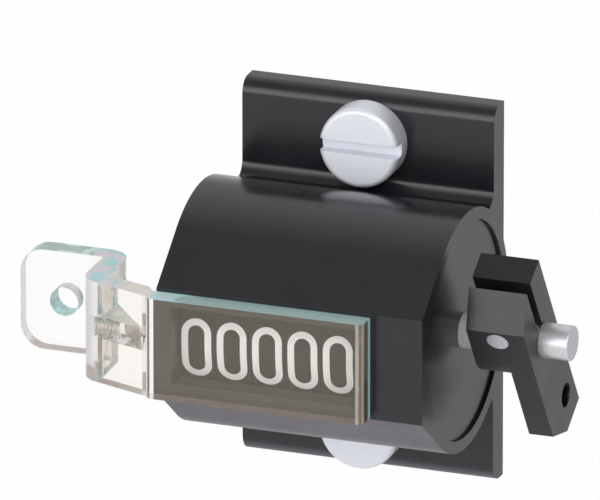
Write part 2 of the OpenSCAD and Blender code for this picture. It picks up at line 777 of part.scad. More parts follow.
housing();
mounting_screws();
clear_bracket();
bearing_cap();
tail_cap();
shaft_bush();
drive_shaft();
thrust_washer();
lever();
clamp_screw();
pawl_arm();
pawl_pin();
drive_pawl();
drive_pawl_spring();
stop_pins();
holding_pin();
holding_pawl();
holding_pawl_spring();
return_spring();
ratchet_wheel();
wheel_axle();
units_wheel();
tens_wheel();
hundreds_wheel();
thousands_wheel();
ten_thousands_wheel();
carrier_plate_1();
carrier_plate_2();
carrier_plate_3();
carrier_plate_4();
transfer_pinion_1();
transfer_pinion_2();
transfer_pinion_3();
transfer_pinion_4();
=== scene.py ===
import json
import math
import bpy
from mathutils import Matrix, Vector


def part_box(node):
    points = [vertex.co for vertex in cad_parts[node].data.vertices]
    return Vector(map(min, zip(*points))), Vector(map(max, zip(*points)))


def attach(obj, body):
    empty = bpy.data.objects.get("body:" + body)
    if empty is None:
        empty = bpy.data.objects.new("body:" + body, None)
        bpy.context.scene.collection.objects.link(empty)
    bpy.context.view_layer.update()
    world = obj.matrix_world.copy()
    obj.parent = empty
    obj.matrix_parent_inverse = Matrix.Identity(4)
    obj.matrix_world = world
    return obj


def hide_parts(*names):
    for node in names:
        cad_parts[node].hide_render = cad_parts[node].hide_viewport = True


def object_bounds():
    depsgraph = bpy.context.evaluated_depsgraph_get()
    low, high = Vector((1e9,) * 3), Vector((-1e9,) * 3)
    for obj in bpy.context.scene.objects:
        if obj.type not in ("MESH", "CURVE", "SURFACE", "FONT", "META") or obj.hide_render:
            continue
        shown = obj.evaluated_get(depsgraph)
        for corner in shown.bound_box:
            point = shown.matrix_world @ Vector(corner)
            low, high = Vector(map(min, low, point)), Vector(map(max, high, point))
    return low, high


bl_info = {
    "name": "Operation Counter",
    "version": (1, 0, 0),
    "blender": (4, 5, 0),
    "location": "View3D > Sidebar > Counter",
    "description": "Figures, threads, finishes and a studio for a five-figure operation counter",
    "category": "Object",
}

import bmesh
import bpy
from bpy.props import FloatProperty, FloatVectorProperty, PointerProperty
from mathutils import Matrix, Vector

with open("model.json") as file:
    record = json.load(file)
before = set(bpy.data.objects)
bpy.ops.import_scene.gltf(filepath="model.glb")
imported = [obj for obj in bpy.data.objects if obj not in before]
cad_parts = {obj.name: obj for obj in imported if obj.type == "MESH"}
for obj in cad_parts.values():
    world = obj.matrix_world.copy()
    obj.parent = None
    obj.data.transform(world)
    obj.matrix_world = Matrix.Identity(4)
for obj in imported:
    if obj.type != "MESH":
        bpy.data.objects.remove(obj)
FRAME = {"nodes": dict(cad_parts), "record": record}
CAD_BOX = [list(corner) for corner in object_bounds()]
MM = 0.001
WHEELS = ("units", "tens", "hundreds", "thousands", "ten_thousands")
FIGURE_STEP = math.radians(36)
PAINT_STEP = 0.3 * MM

# The fixing screws' M4 thread, and the smooth length at each of its ends
SCREW_RADIUS = 2.0 * MM
THREAD_START = 0.25 * MM
THREAD_END = 0.02 * MM

# Widths of the rounded edges
LEVER_EDGE = CLEAR_EDGE = 0.05 * MM
SHAFT_EDGE = 0.04 * MM
SCREW_EDGE = WHEEL_EDGE = 0.03 * MM
HEAD_EDGE = 0.07 * MM

# The sill and the lintel of the housing's window lie within this distance of the shaft's axis
WINDOW_REACH = 4.3 * MM

# Places along the clear bracket from left to right: the web stands between the lug and the neck
LUG_END = -20.4 * MM
NECK_START = -15.2 * MM
STRIP_START = -12.7 * MM

# The web's rounded corner lies left of and in front of this place, and its painted light turns
# brown below it
WEB_CORNER = (-17.5 * MM, -17.0 * MM, -3.9 * MM)

# The strip's cut edges glint only further than this from its right end
GLINT_START = 15.5 * MM

# Directions to the bright window and to the soft light, and the lamp's place and width
WINDOW_WAY = (-0.30, 0.45, 0.83)
FILL_WAY = (-0.32, -0.94, 0.12)
LAMP_PLACE = (0.30, -0.32, 0.38)
LAMP_WIDTH = 0.35


def middle(node):
    """Centre of a CAD node's box."""
    low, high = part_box(node)
    return (low + high) / 2


def extent(node):
    """Size of a CAD node's box."""
    low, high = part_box(node)
    return high - low


def mount(name):
    """A mount of the record, by its name."""
    return next(m for m in FRAME["record"]["mounts"] if m["name"] == name)


# The shaft's axis runs along X through the barrel's end face on the lever side
AXIS = Vector((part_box("housing")[1].x, middle("drive_shaft").y, middle("drive_shaft").z))


def length(name, description, default, low=0.0):
    """A length in metres, given in millimetres here."""
    return FloatProperty(name=name, description=description, default=default * MM,
                         min=low * MM, precision=5, subtype="DISTANCE", unit="LENGTH")


def colour(name, description, default):
    """A scene-linear colour."""
    return FloatVectorProperty(name=name, description=description, default=default,
                               min=0.0, max=1.0, size=3, subtype="COLOR")


def share(name, description, default, high=1.0):
    """A plain number from 0 upwards."""
    return FloatProperty(name=name, description=description, default=default, min=0.0, max=high)


class FigureSettings(bpy.types.PropertyGroup):
    """Figures printed on the number wheels."""

    height: length("Height", "Height of a figure", 5.27)
    width: length("Width", "Width of a figure", 2.63)
    stroke: length("Stroke", "Width of the painted line", 0.59)
    film: length("Film", "Thickness of the paint", 0.02)
    window_angle: FloatProperty(name="Window angle", default=math.radians(184.2),
                                description="Place of the figure in the window, "
                                "round the shaft from the back over the top",
                                subtype="ANGLE", unit="ROTATION")
    shift: length("Shift", "Offset of the figures along the shaft", -0.04, -1.0)
    paint: colour("Paint", "Colour of the figures", (0.94, 0.95, 0.99))


class ScrewSettings(bpy.types.PropertyGroup):
    """Fixing screws and the thread in the clear web."""

    pitch: length("Pitch", "Thread pitch of the fixing screws", 0.7)
    depth: length("Depth", "Depth of the fixing screws' thread", 0.42)
    web_pitch: length("Web pitch", "Thread pitch of the hole in the clear web", 0.35)
    web_ridge: length("Web ridge", "Half height of the ridges in that hole", 0.11)
    steel: colour("Steel", "Colour of the fixing screws", (0.71, 0.725, 0.785))


class FinishSettings(bpy.types.PropertyGroup):
    """Finishes of the solid pieces."""

    edge: length("Edge", "Rounding of the castings' edges", 0.06)
    casting: colour("Casting", "Colour of the cast housing", (0.0088, 0.0095, 0.0118))
    # Painted light: the housing's downward faces take this lighter colour, standing in for light
    # from below.
    underside_light: colour("Underside", "Colour of the housing's underside", (0.043, 0.036, 0.054))
    lever: colour("Lever", "Colour of the lever", (0.0025, 0.0028, 0.0040))
    wheel: colour("Wheel", "Colour of the number wheels", (0.012, 0.011, 0.0105))
    shaft: colour("Shaft", "Colour of the ground shaft", (0.62, 0.605, 0.63))
    rim_lap: length("Rim lap", "How far each wheel's rim reaches towards the next", 0.05)
    shaft_end: colour("Shaft end", "Colour of the shaft's sawn end", (0.48, 0.465, 0.50))
    clamp: colour("Clamp screw", "Colour of the lever's clamp screw", (0.48, 0.47, 0.51))
    clear: colour("Clear plastic", "Colour of light through the plastic", (0.985, 0.97, 0.95))
    haze: colour("Haze", "Colour of the light film on the clear plastic", (0.48, 0.35, 0.21))
    # The cut edges' colours from here on are painted light on the frosted plastic: tints of piped
    # light, painted glints, and light and shaded bands on the rounded end.
    edge_up: colour("Upper edges", "Colour of the strip's upper cut edges", (0.25, 0.40, 0.385))
    edge_glint: colour("Glints", "Colour of the glints in those edges", (0.40, 0.68, 0.70))
    neck_edge: colour("Neck edge", "Colour of the neck's upper cut edge", (0.76, 0.70, 0.65))
    lug_edge: colour("Lug edge", "Colour of the lug's upper cut edge", (0.38, 0.52, 0.48))
    edge_down: colour("Lower edges", "Colour of the lower cut edges", (0.42, 0.35, 0.32))
    edge_side: colour("Side edges", "Colour of the upright cut edges", (0.48, 0.465, 0.48))
    end_round: length("End rounding", "Width of the strip's rounded end", 0.62)
    end_light: colour("End light", "Light bands on the rounded end", (0.36, 0.30, 0.255))
    end_shade: colour("End shade", "Darker band on the rounded end", (0.135, 0.113, 0.083))
    end_dark: colour("End dark", "Flat part of that end", (0.045, 0.052, 0.04))


class StudioSettings(bpy.types.PropertyGroup):
    """Camera, floor and light."""

    azimuth: FloatProperty(name="Azimuth", description="Camera's turn towards the lever side",
                           default=math.radians(20), subtype="ANGLE", unit="ROTATION")
    elevation: FloatProperty(name="Elevation", description="Camera's height above the horizon",
                             default=math.radians(20), subtype="ANGLE", unit="ROTATION")
    frame_width: length("Frame width", "Width of the picture at the object", 50.0)
    side: length("Side", "Shaft end to the picture's middle, to the left", 13.858)
    rise: length("Rise", "Shaft end to the picture's middle, upwards", 6.667)
    floor_drop: length("Floor drop", "Floor below the object", 60.0)
    lens: length("Lens", "Focal length of the camera", 1200.0)
    depth: length("Depth", "Plane of exact scale behind the shaft's end", 5.0)
    floor: colour("Floor", "Colour of the floor", (0.82, 0.81, 0.80))
    sky: share("Sky", "Brightness of the room overhead", 0.45, 3.0)
    window: share("Window", "Extra brightness of the window high at the back", 0.5, 3.0)
    fill: share("Fill", "Extra brightness of the soft light at the front left", 2.6, 5.0)
    lamp: FloatProperty(name="Lamp", description="Power of the soft lamp", default=1.0, min=0.0,
                        subtype="POWER")


class Value:
    """An output socket of a material, which Python's operators turn into Math nodes."""

    def __init__(self, paint, output):
        self.paint, self.output = paint, output

    def math(self, operation, *inputs):
        return self.paint.add("ShaderNodeMath", {"operation": operation}, dict(enumerate(inputs)))

    def __add__(self, other):
        return self.math("ADD", self, other)

    def __sub__(self, other):
        return self.math("SUBTRACT", self, other)

    def __rsub__(self, other):
        return self.math("SUBTRACT", other, self)

    def __mul__(self, other):
        return self.math("MULTIPLY", self, other)

    def __abs__(self):
        return self.math("ABSOLUTE", self)

    __radd__ = __add__
    __rmul__ = __mul__

    def peak(self, other):
        return self.math("MAXIMUM", self, other)

    def span(self, low, high, to_low=0.0, to_high=1.0):
        """Maps low..high to to_low..to_high and holds it there."""
        return self.paint.add("ShaderNodeMapRange", {"clamp": True},
                              {0: self, 1: low, 2: high, 3: to_low, 4: to_high})


class Paint:
    """The node tree of one material."""

    def __init__(self, name, tree=None):
        if tree is None:
            self.material = bpy.data.materials.new(name)
            self.material.use_nodes = True
            tree = self.material.node_tree
        self.nodes, self.links = tree.nodes, tree.links
        self.nodes.clear()

    def add(self, kind, settings, inputs, output=0):
        """Adds a node, sets it, fills or links its inputs and gives back one of its outputs."""
        node = self.nodes.new(kind)
        for name, setting in settings.items():
            setattr(node, name, setting)
        for name, value in inputs.items():
            if isinstance(value, Value):
                self.links.new(value.output, node.inputs[name])
            else:
                node.inputs[name].default_value = value
        return Value(self, node.outputs[output]) if node.outputs else None

    def ports(self, kind, settings, inputs, *names):
        """Adds a node and gives back several of its outputs."""
        outputs = self.add(kind, settings, inputs).output.node.outputs
        return [Value(self, outputs[name]) for name in names]

    def facing(self):
        """The way a face points, in the object's own directions, whichever side is seen."""
        normal = self.add("ShaderNodeTexCoord", {}, {}, "Normal")
        back = self.add("ShaderNodeNewGeometry", {}, {}, "Backfacing")
        return [part * (1 - 2 * back)
                for part in self.ports("ShaderNodeSeparateXYZ", {}, {0: normal}, "X", "Y", "Z")]

    def place(self):
        """Object coordinates."""
        return self.add("ShaderNodeTexCoord", {}, {}, "Object")

    def noise(self, scale, detail=2.0, stretch=(1.0, 1.0, 1.0)):
        """Soft noise of a number of waves per metre, from 0 to 1."""
        mapped = self.add("ShaderNodeMapping", {}, {"Vector": self.place(), "Scale": stretch})
        return self.add("ShaderNodeTexNoise", {},
                        {"Vector": mapped, "Scale": scale, "Detail": detail})

    def bump(self, height, distance):
        """Turns a height pattern into small relief."""
        return self.add("ShaderNodeBump", {}, {"Height": height, "Distance": distance})

    def mix(self, factor, first, second):
        """Mixes two colours."""
        return self.add("ShaderNodeMix", {"data_type": "RGBA"}, {0: factor, 6: first, 7: second}, 2)

    def principled(self, **inputs):
        """The usual surface shader, its sockets named in lower case."""
        return self.add("ShaderNodeBsdfPrincipled", {},
                        {name.replace("_", " ").title().replace("Ior", "IOR"): value
                         for name, value in inputs.items()})

    def finish(self, surface):
        """Ends the tree and gives back its material."""
        self.add("ShaderNodeOutputMaterial", {}, {"Surface": surface})
        return self.material


def rgba(tint, gain=1.0):
    """A colour with its alpha, made brighter or darker."""
    return (*(min(1.0, c * gain) for c in tint), 1.0)


def satin_black(name, tint, beneath=0.2, underside_light=None):
    """Black stove enamel: a fine-grained low gloss, duller underneath and on a lever's sides.

    A casting's downward faces are painted lighter, a painted light from below; it also has smoother
    machined ends and dull window walls.
    """
    p = Paint(name)
    cloud = p.noise(260.0, 3.0)
    grain = p.bump(p.noise(9000.0, 2.0), 0.003 * MM)
    nx, _, nz = p.facing()
    ends = abs(nx).span(0.85, 0.97)
    below = nz.span(-0.3, -0.5)
    dull = beneath * below
    skin = p.mix(cloud.span(0.3, 0.7), rgba(tint, 0.9), rgba(tint, 1.12))
    if underside_light:
        # Painted light: downward faces take a lighter colour, as if lit from below.
        skin = p.mix(below, skin, rgba(underside_light))
        z = p.ports("ShaderNodeSeparateXYZ", {}, {0: p.place()}, "Z")[0]
        off = abs(z - AXIS.z)
        window = abs(nz).span(0.6, 0.8) * off.span(WINDOW_REACH + 0.4 * MM, WINDOW_REACH)
        dull = dull.peak(0.5 * window)
    else:
        dull = dull.peak(0.22 * ends)
    surface = p.principled(
        base_color=skin, roughness=cloud.span(0.3, 0.7, 0.20, 0.25) + dull, ior=1.5,
        normal=grain)
    if underside_light:
        smooth = p.principled(base_color=rgba(tint, 0.75), ior=1.25, normal=grain,
                              roughness=cloud.span(0.3, 0.7, 0.22, 0.27))
        surface = p.add("ShaderNodeMixShader", {}, {0: ends, 1: surface, 2: smooth})
    return p.finish(surface)


def bright_steel(name, tint, roughness=0.30, metal=1.0, rim=1.0):
    """Barrel-finished and plated steel: soft reflections, slightly cloudy, with painted shade that
    darkens the faces turned along X.
    """
    p = Paint(name)
    cloud = p.noise(400.0, 2.0)
    fine = p.noise(5000.0, 3.0)
    skin = p.mix(cloud, rgba(tint, 0.97), rgba(tint, 1.03))
    return p.finish(p.principled(
        # Painted shade: faces turned along X take the darker colour.
        base_color=p.mix(abs(p.facing()[0]).span(0.3, 0.8), skin, rgba(tint, rim)),
        metallic=metal, roughness=cloud.span(0.3, 0.7, roughness - 0.03, roughness + 0.03),
        normal=p.bump(fine, 0.002 * MM)))


def ground_steel(name, tint, roughness=0.36, end=None, neck=-1.0, metal=0.9):
    """Cylindrically ground steel: fine rings across the length, a duller sawn end, and a painted
    highlight: whitish and less metallic short of the neck.
    """
    p = Paint(name)
    rings = p.noise(400.0, 4.0, (40.0, 1.0, 1.0))
    skin = p.mix(rings.span(0.35, 0.65), rgba(tint, 0.94), rgba(tint, 1.06))
    cut = abs(p.facing()[0]).span(0.85, 0.95)
    x = p.ports("ShaderNodeSeparateXYZ", {}, {0: p.place()}, "X")[0]
    painted_highlight = x.span(neck + 0.2 * MM, neck)
    return p.finish(p.principled(
        base_color=p.mix(painted_highlight, p.mix(cut, skin, rgba(end or tint)), (0.88, 0.88, 0.89, 1.0)),
        metallic=metal - 0.35 * painted_highlight,
        roughness=rings.span(0.3, 0.7, roughness - 0.03, roughness + 0.03) + 0.15 * cut,
        normal=p.bump(rings, 0.0012 * MM)))


def moulded(name, tint, roughness=0.5, sheen=0.5, painted_glow=0.0):
    """Moulded plastic with a fine matt skin, or a bright paint on it, with an optional painted glow
    that stands in for light.
    """
    p = Paint(name)
    cloud = p.noise(500.0, 2.0)
    fine = p.noise(12000.0, 1.0)
    return p.finish(p.principled(
        base_color=p.mix(cloud, rgba(tint, 0.95), rgba(tint, 1.05)), specular_ior_level=sheen,
        emission_color=rgba(tint), emission_strength=painted_glow,
        roughness=cloud.span(0.3, 0.7, roughness - 0.04, roughness + 0.04),
        normal=p.bump(fine, 0.002 * MM)))


def bright_clear(name):
    """Clear plastic cut by a tap, which glitters."""
    p = Paint(name)
    fine = p.noise(4000.0, 2.0)
    return p.finish(p.principled(
        base_color=p.mix(fine, (0.93, 0.91, 0.88, 1.0), (0.99, 0.98, 0.96, 1.0)),
        roughness=fine.span(0.3, 0.7, 0.05, 0.15), ior=1.49, transmission_weight=1.0))


def clear_plastic(s):
    """Polished clear plastic with sawn edges, which scatter light, and painted light on those
    edges: tints of light piped through the plastic, glints and bands.
    """
    p = Paint("Clear Plastic")
    nx, ny, nz = p.facing()
    x, y, z = p.ports("ShaderNodeSeparateXYZ", {}, {0: p.place()}, "X", "Y", "Z")
    low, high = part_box("clear_bracket")
    fine = p.noise(3000.0, 2.0)
    lug = x.span(LUG_END, LUG_END - 0.3 * MM)
    inner = x.span(LUG_END - 0.3 * MM, LUG_END)
    glass = p.principled(base_color=p.mix(inner, (0.995, 0.995, 0.995, 1.0), rgba(s.clear)),
                         roughness=0.0, ior=1.49, transmission_weight=1.0)
    film = p.principled(base_color=p.mix(fine, rgba(s.haze, 0.97), rgba(s.haze, 1.03)),
                        roughness=0.8, specular_ior_level=0.0)

    # Sawn upper and lower edges, painted light: blocks of painted glints over a painted tint of
    # light piped along the plastic, teal above and brown below, cream along the neck
    blocks = p.add("ShaderNodeTexVoronoi", {"distance": "CHEBYCHEV"},
                   {"Vector": p.place(), "Scale": 850.0}, "Color")
    chance = p.ports("ShaderNodeSeparateColor", {}, {0: blocks}, "Red")[0]
    beside = x.span(high.x - GLINT_START, high.x - GLINT_START - MM)
    neck = (x.span(LUG_END - 0.2 * MM, LUG_END + 0.3 * MM)
            * x.span(NECK_START + 0.7 * MM, NECK_START))
    upper = p.mix(beside * chance.span(0.49, 0.51), rgba(s.edge_up), rgba(s.edge_glint))
    upper = p.mix(beside * (chance - 0.35 * neck).span(0.26, 0.24), upper,
                  p.mix(neck, rgba(s.edge_side, 1.2), rgba(s.edge_side, 1.42)))
    cream = x.span(NECK_START - MM, NECK_START) * x.span(STRIP_START + MM, STRIP_START)
    upper = p.mix(cream, upper, rgba(s.neck_edge))
    # Painted glints on the lug's upper edge.
    lug_glints = p.mix(chance.span(0.64, 0.66), rgba(s.lug_edge), rgba(s.lug_edge, 1.5))
    upper = p.mix(x.span(LUG_END + 0.3 * MM, LUG_END), upper, lug_glints)
    tint = p.mix(nz.span(0.2, 0.7), rgba(s.edge_side), upper)
    lower = p.mix(0.5 * (neck * chance.span(0.44, 0.46)), rgba(s.edge_down), rgba(s.edge_glint))
    tint = p.mix(nz.span(-0.2, -0.7), tint, lower)
    centre = (low.z + high.z) / 2
    far = abs(z - centre).span(2 * MM, 3 * MM, 0.35, 0.88)
    edge = abs(nz).span(0.5, 0.85) * far.peak(0.75 * lug)
    edge = edge * (1 - nz.span(0.0, -0.2) * x.span(STRIP_START - 0.6 * MM, STRIP_START, 0.0, 0.73))
    side = abs(nx).span(0.5, 0.85) * (0.5 * lug)

    # Wall of the lug's eye, painted light: painted glints below, a plain lavender tint above
    eye = mount("lug_eye")
    off = abs(x - eye["pos_m"][0]).peak(abs(z - eye["pos_m"][2]))
    reach = eye["dims"]["r_mm"] * MM
    wall = off.span(reach + 0.1 * MM, reach + 0.05 * MM) * abs(ny).span(0.5, 0.2)
    below = p.mix(fine.span(0.42, 0.58), rgba(s.lug_edge, 1.2), rgba(s.edge_glint, 1.3))
    tint = p.mix(wall, tint, p.mix(nz.span(-0.5, 0.1), rgba(s.edge_side, 1.3), below))

    # Rounded end by the shaft, painted light: light and shaded bands round the corner, and a teal
    # line of piped light painted down its rear
    end = x.span(high.x - s.end_round, high.x - s.end_round + 0.03 * MM)
    end = end * abs(nz).span(0.85, 0.5)
    rear = (y - low.y).span(1.38 * MM, 1.45 * MM)
    shade = p.mix(nx.span(0.42, 0.5), rgba(s.end_light), rgba(s.end_shade))
    shade = p.mix(nx.span(0.76, 0.82), shade, rgba(s.end_light, 0.78))
    flat = p.mix(rear, rgba(s.end_dark), rgba(s.edge_up, 1.4))
    shade = p.mix(nx.span(0.985, 0.995), shade, flat)
    tint = p.mix(end, tint, shade)

    # Rounded corner of the web, painted light: lavender above and brown below
    left, front, foot = WEB_CORNER
    corner = (nx.span(-0.3, -0.4) * nx.span(-0.995, -0.98)
              * x.span(left, left - 0.2 * MM) * y.span(front, front - 0.5 * MM))
    bands = p.mix(z.span(foot, foot - 0.1 * MM), rgba(s.edge_side, 1.38), rgba(s.edge_down))
    tint = p.mix(corner, tint, bands)
    sawn = p.principled(base_color=tint, roughness=fine.span(0.3, 0.7, 0.3, 0.5))

    body = p.add("ShaderNodeMixShader", {}, {0: 0.015 + 0.03 * inner, 1: glass, 2: film})
    cut = edge.peak(side).peak(0.85 * wall).peak(0.9 * end).peak(0.8 * corner)
    body = p.add("ShaderNodeMixShader", {}, {0: cut, 1: body, 2: sawn})
    through = p.add("ShaderNodeBsdfTransparent", {}, {"Color": rgba(s.clear)})
    shadow, depth = p.ports("ShaderNodeLightPath", {}, {}, "Is Shadow Ray", "Ray Depth")
    return p.finish(p.add("ShaderNodeMixShader", {}, {0: shadow.peak(depth.span(5.5, 6.5)),
                                                      1: body, 2: through}))


def add_object(name, mesh, material, body):
    """Puts a finished mesh in the scene, on a body and with its finish."""
    piece = bpy.data.objects.new(name, mesh)
    bpy.context.collection.objects.link(piece)
    mesh.materials.clear()
    mesh.materials.append(material)
    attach(piece, body)
    return piece


def closed_copy(node):
    """A bmesh of a CAD node with its doubles merged and its flat faces whole."""
    solid = bmesh.new()
    solid.from_mesh(FRAME["nodes"][node].data)
    bmesh.ops.remove_doubles(solid, verts=solid.verts, dist=1e-7)
    bmesh.ops.dissolve_limit(solid, angle_limit=math.radians(0.5), verts=solid.verts,
                             edges=solid.edges, delimit={"NORMAL"})
    return solid


def soften(solid, width, angle=32.0, segments=2):
    """Rounds the sharp edges of a bmesh a little, as a real edge catches light."""
    sharp = [edge for edge in solid.edges
             if len(edge.link_faces) == 2 and edge.calc_face_angle(0.0) > math.radians(angle)]
    bmesh.ops.bevel(solid, geom=sharp, offset=width, offset_type="OFFSET", segments=segments,
                    profile=0.5, affect="EDGES", clamp_overlap=True)


def to_mesh(solid, name, smooth=30.0):
    """Turns a bmesh into a mesh that is smooth up to an angle."""
    mesh = bpy.data.meshes.new(name)
    solid.to_mesh(mesh)
    solid.free()
    mesh.shade_smooth()
    mesh.set_sharp_from_angle(angle=math.radians(smooth))
    return mesh


def evaluated(mesh, kind, **settings):
    """The mesh with one modifier applied."""
    holder = bpy.data.objects.new(mesh.name + "_source", mesh)
    bpy.context.collection.objects.link(holder)
    modifier = holder.modifiers.new(kind.title(), kind)
    for name, setting in settings.items():
        setattr(modifier, name, setting)
    graph = bpy.context.evaluated_depsgraph_get()
    done = bpy.data.meshes.new_from_object(holder.evaluated_get(graph),
                                           preserve_all_data_layers=True, depsgraph=graph)
    done.name = mesh.name
    bpy.data.objects.remove(holder)
    return done


def widen_rim(solid, lap):
    """Draws the rims of a number wheel out sideways, to close the gap to its neighbours."""
    low, high = (f(v.co.x for v in solid.verts) for f in (min, max))
    reach = max(v.co.z for v in solid.verts) - AXIS.z
    for v in solid.verts:
        if math.hypot(v.co.y - AXIS.y, v.co.z - AXIS.z) > 0.9 * reach:
            for end, side in ((low, -1), (high, 1)):
                if abs(v.co.x - end) < 1e-6:
                    v.co.x += side * lap


def dress(node, name, material, body, width, smooth=30.0, spread=0.0):
    """A copy of a CAD node with rounded edges, which stands for it."""
    solid = closed_copy(node)
    if spread:
        widen_rim(solid, spread)
    soften(solid, width)
    mesh = evaluated(to_mesh(solid, name, smooth), "WEIGHTED_NORMAL", weight=100, keep_sharp=True)
    piece = add_object(name, mesh, material, body)
    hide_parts(node)
    return piece


class NodeTree:
    """A Geometry Nodes tree with named inputs."""

    def __init__(self, name, **inputs):
        self.tree = bpy.data.node_groups.new(name, "GeometryNodeTree")
        for in_out in ("INPUT", "OUTPUT"):
            self.tree.interface.new_socket("Geometry", in_out=in_out,
                                           socket_type="NodeSocketGeometry")
        for label, kind in inputs.items():
            self.tree.interface.new_socket(label, in_out="INPUT", socket_type="NodeSocket" + kind)
        self.source = self.tree.nodes.new("NodeGroupInput")
        self.target = self.tree.nodes.new("NodeGroupOutput")

    def input(self, label):
        return self.source.outputs[label]

    def add(self, kind, settings=None, inputs=None, output=0):
        node = self.tree.nodes.new(kind)
        for name, setting in (settings or {}).items():
            setattr(node, name, setting)
        for name, value in (inputs or {}).items():
            if isinstance(value, bpy.types.NodeSocket):
                self.tree.links.new(value, node.inputs[name])
            else:
                node.inputs[name].default_value = value
        return node.outputs[output]

    def math(self, operation, *values):
        return self.add("ShaderNodeMath", {"operation": operation}, dict(enumerate(values)))

    def close(self, geometry, material):
        """Ends the tree in real geometry with its material."""
        real = self.add("GeometryNodeRealizeInstances", None, {0: geometry})
        done = self.add("GeometryNodeSetMaterial", None, {0: real, "Material": material})
        self.tree.links.new(done, self.target.inputs[0])

    def run(self, mesh, name, **values):
        """Runs the tree on a mesh and gives back the result as a plain mesh."""
        holder = bpy.data.objects.new(name + "_source", mesh)
        bpy.context.collection.objects.link(holder)
        modifier = holder.modifiers.new(self.tree.name, "NODES")
        modifier.node_group = self.tree
        names = {item.name: item.identifier for item in self.tree.interface.items_tree
                 if item.in_out == "INPUT"}
        for label, value in values.items():
            modifier[names[label]] = value
        bpy.context.view_layer.update()
        done = bpy.data.meshes.new_from_object(holder.evaluated_get(
            bpy.context.evaluated_depsgraph_get()))
        done.name = name
        bpy.data.objects.remove(holder)
        return done


def wrapping_tree(material):
    """Bends a flat strip round a drum: X along the shaft, Y round it and Z out of it."""
    tree = NodeTree("Wrap Round Drum", Radius="Float", Turn="Float", Centre="Vector")
    spot = tree.add("GeometryNodeInputPosition")
    parts = tree.add("ShaderNodeSeparateXYZ", None, {0: spot})
    x, y, z = parts.node.outputs
    turn = tree.math("SUBTRACT", tree.input("Turn"), tree.math("DIVIDE", y, tree.input("Radius")))
    reach = tree.math("ADD", tree.input("Radius"), z)
    bent = tree.add("ShaderNodeCombineXYZ", None, {
        0: x, 1: tree.math("MULTIPLY", reach, tree.math("COSINE", turn)),
        2: tree.math("MULTIPLY", reach, tree.math("SINE", turn))})
    moved = tree.add("ShaderNodeVectorMath", {"operation": "ADD"},
                     {0: bent, 1: tree.input("Centre")})
    tree.close(tree.add("GeometryNodeSetPosition", None,
                        {"Geometry": tree.input("Geometry"), "Position": moved}), material)
    return tree


def thread_tree(material):
    """A ridge of diamond section wound round an axis, for a screw thread."""
    tree = NodeTree("Wound Thread", Turns="Float", Radius="Float", Pitch="Float", Ridge="Float",
                    Centre="Vector", Rotation="Vector")
    height = tree.math("MULTIPLY", tree.input("Turns"), tree.input("Pitch"))
    path = tree.add("GeometryNodeCurveSpiral", None, {
        "Resolution": 40, "Rotations": tree.input("Turns"), "Start Radius": tree.input("Radius"),
        "End Radius": tree.input("Radius"), "Height": height})
    section = tree.add("GeometryNodeCurvePrimitiveCircle", None,
                       {"Resolution": 4, "Radius": tree.input("Ridge")})
    ridge = tree.add("GeometryNodeCurveToMesh", None,
                     {"Curve": path, "Profile Curve": section, "Fill Caps": True})
    placed = tree.add("GeometryNodeTransform", None, {
        "Geometry": ridge, "Translation": tree.input("Centre"), "Rotation": tree.input("Rotation")})
    both = tree.add("GeometryNodeJoinGeometry", None, {0: placed})
    tree.tree.links.new(tree.input("Geometry"), both.node.inputs[0])
    tree.close(both, material)
    return tree


def bow(x, y, rx, ry, start, stop, steps=14):
    """Points on part of an ellipse, in degrees."""
    return [(x + rx * math.cos(math.radians(start + (stop - start) * i / steps)),
             y + ry * math.sin(math.radians(start + (stop - start) * i / steps)))
            for i in range(steps + 1)]


def figure_paths(w, h):
    """Middle lines of the figures 0 to 9 in a box of half width w and half height h."""
    top, low = h - w, w - h
    waist = 0.08 * h
    hook = bow(0, top, w, w, 0, 180)
    cup = bow(0, low, w, w, 180, 360)
    upper = (h - waist) / 2
    lower = (h + waist) / 2
    return [
        [(hook + cup + hook[:1], True)],
        [([(-0.55 * w, h - 0.95 * w), (0.1 * w, h - 0.38 * w), (0.1 * w, -h)], False)],
        [(bow(0, top, w, w, 172, -24) + [(-w, -h), (w, -h)], False)],
        [(bow(0, waist + upper, w, upper, 165, -90), False),
         (bow(0, waist - lower, w, lower, 90, -165), False)],
        [([(0.55 * w, -h), (0.55 * w, h), (-w, -0.42 * h), (w, -0.42 * h)], False)],
        [([(0.85 * w, h), (-0.85 * w, h), (-0.92 * w, 0.16 * h)]
          + bow(0, -0.28 * h, w, 0.72 * h, 128, -160, 20), False)],
        [(bow(0.05 * w, top, 0.95 * w, w, 35, 180)[:-1] + cup
          + bow(0, low + 0.12 * h, w, w, 0, 180), False)],
        [([(-w, h), (w, h), (-0.28 * w, -h)], False)],
        [(bow(0, waist + upper, 0.92 * w, upper, -90, 270, 28), True),
         (bow(0, waist - lower, w, lower, 90, 450, 28), True)],
        [(bow(-0.05 * w, low + 0.12 * h, 0.95 * w, w, 215, 360)[:-1] + hook
          + bow(0, top - 0.12 * h, w, w, 180, 360), False)],
    ]


def even_steps(path, closed, step):
    """The same path with a point at least every step, without repeated points."""
    points = []
    ends = path + path[:1] if closed else path
    for a, b in zip(ends, ends[1:]):
        gap = math.dist(a, b)
        if gap < 1e-9:
            continue
        count = max(1, math.ceil(gap / step))
        points += [(a[0] + (b[0] - a[0]) * i / count, a[1] + (b[1] - a[1]) * i / count)
                   for i in range(count)]
    return points if closed else points + [ends[-1]]


